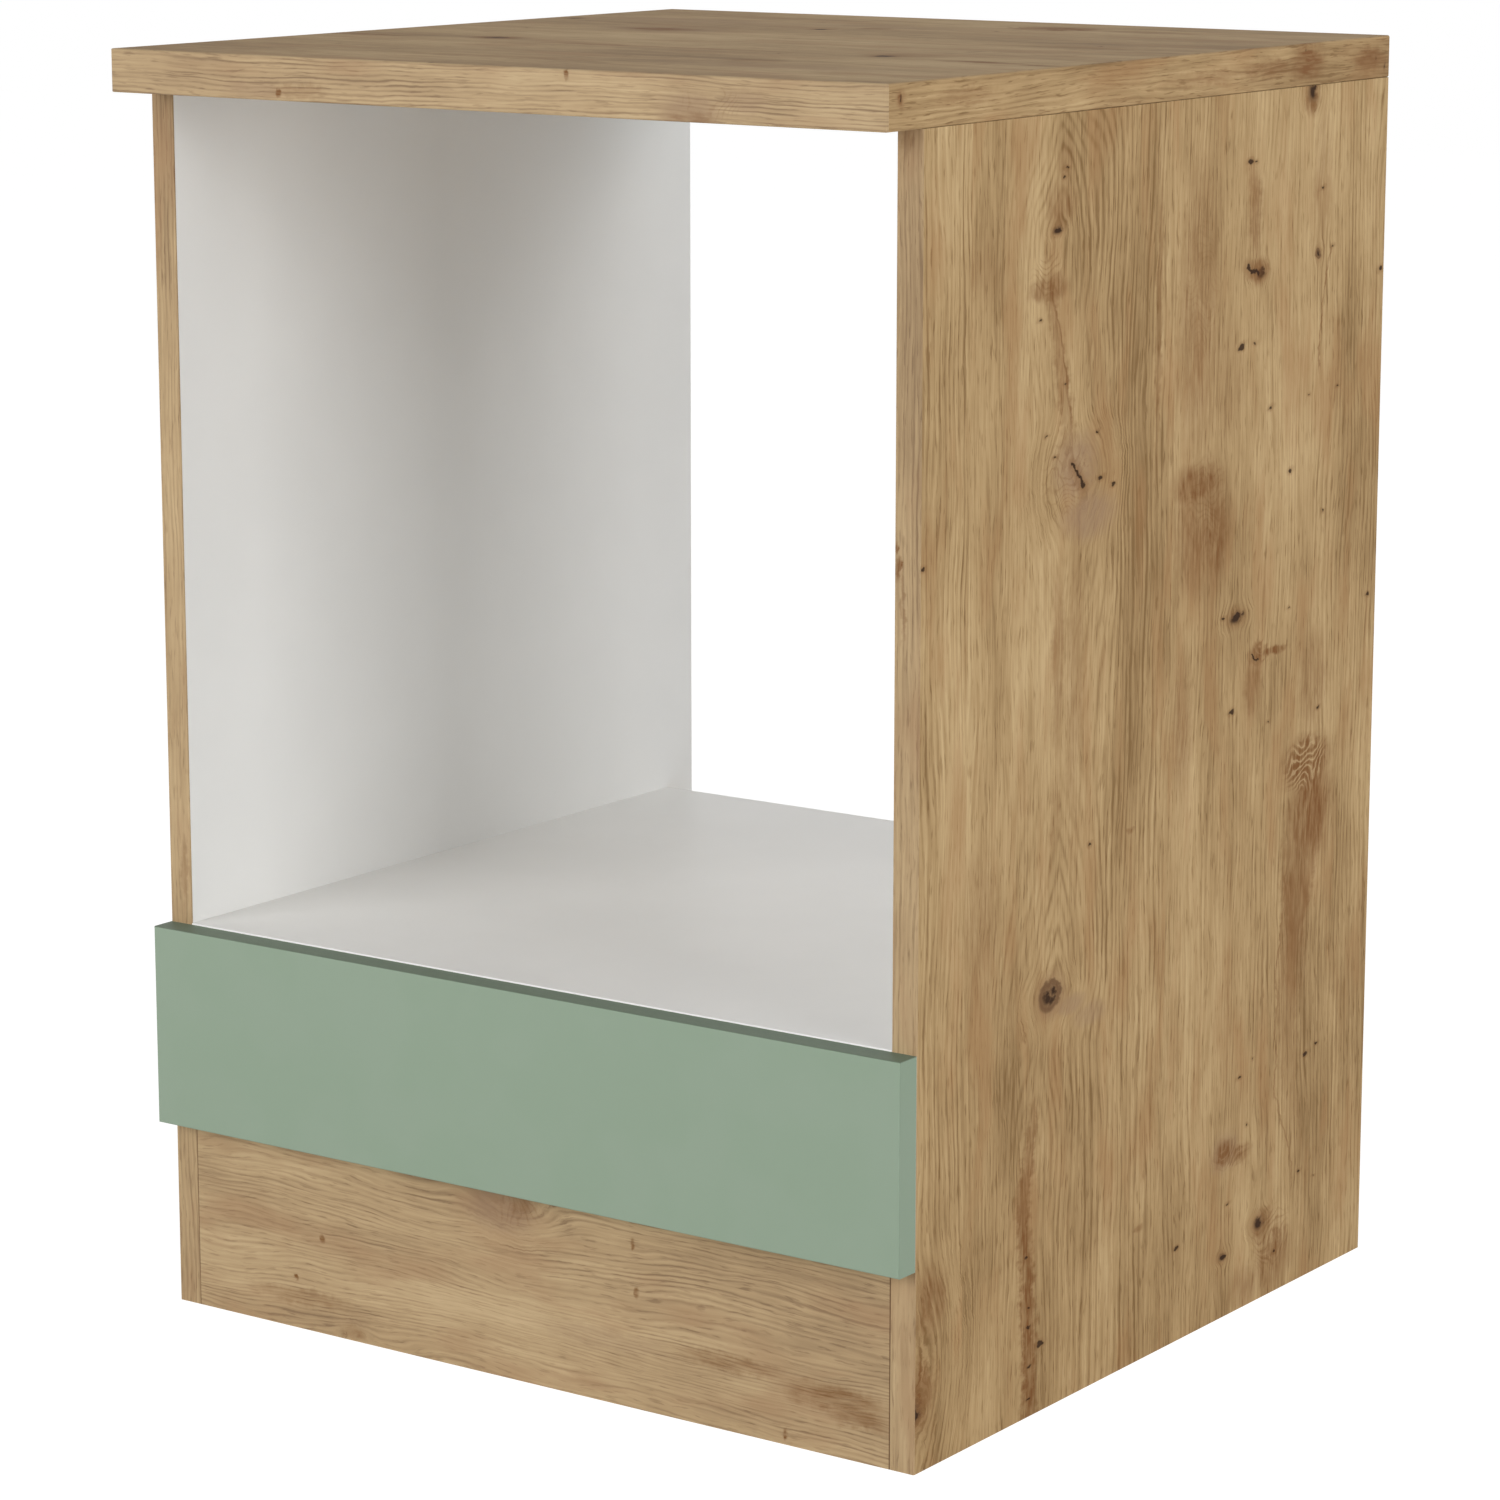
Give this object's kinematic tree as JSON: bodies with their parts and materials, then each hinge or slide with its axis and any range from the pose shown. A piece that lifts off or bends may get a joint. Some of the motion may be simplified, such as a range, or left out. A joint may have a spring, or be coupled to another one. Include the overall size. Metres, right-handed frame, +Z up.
{
  "type": "built-in oven base cabinet",
  "caption": "Freestanding base cabinet with an open niche for a built-in oven, a wood-look worktop, side panels down to the floor, a fixed green fascia and a flush plinth.",
  "frame": {"origin": "middle of the cabinet's outline on the floor: halfway across the width, and halfway between the worktop's front edge and the back", "axes": "+Z up from the floor, +X to the right seen from the front, +Y to the back, so the front faces -Y"},
  "size_m": [0.6, 0.608, 0.85],
  "materials": {
    "oak_decor": "knotty light oak decor on chipboard, matt, white melamine towards the niche",
    "oak_edging": "oak decor edging, matt",
    "white_melamine": "white melamine on chipboard",
    "white_edging": "white edging, smooth",
    "sage_front": "sage green matt lacquer on fibreboard",
    "zinc_die_cast": "bare die-cast zinc alloy",
    "zinc_plated_steel": "bright zinc plate",
    "beech": "bare beech"
  },
  "bodies": {
    "root": {"worktop": "oak_decor", "worktop_front_edging": "oak_edging", "worktop_left_edging": "oak_edging", "worktop_right_edging": "oak_edging", "left_side_panel": "oak_decor", "left_side_edging": "oak_edging", "right_side_panel": "oak_decor", "right_side_edging": "oak_edging", "oven_shelf": "white_melamine", "oven_shelf_edging": "white_edging", "fascia": "sage_front", "plinth": "oak_decor", "top_rear_rail": "white_melamine", "top_rear_rail_edging": "white_edging", "shelf_rear_rail": "white_melamine", "shelf_cam_locks": "zinc_die_cast", "shelf_cam_bolts": "zinc_plated_steel", "shelf_dowels": "beech", "plinth_cam_locks": "zinc_die_cast", "plinth_cam_bolts": "zinc_plated_steel", "plinth_dowels": "beech", "top_rail_cam_locks": "zinc_die_cast", "top_rail_cam_bolts": "zinc_plated_steel", "top_rail_dowels": "beech", "rear_rail_cam_locks": "zinc_die_cast", "rear_rail_cam_bolts": "zinc_plated_steel", "rear_rail_dowels": "beech", "worktop_dowels": "beech", "fascia_dowels": "beech", "fascia_bracket_left_upper": "zinc_plated_steel", "fascia_bracket_left_lower": "zinc_plated_steel", "fascia_bracket_right_upper": "zinc_plated_steel", "fascia_bracket_right_lower": "zinc_plated_steel", "fascia_bracket_screws": "zinc_plated_steel", "worktop_bracket_left": "zinc_plated_steel", "worktop_bracket_right": "zinc_plated_steel", "worktop_bracket_screws": "zinc_plated_steel", "worktop_rail_screws": "zinc_plated_steel"}
  },
  "joints": []
}
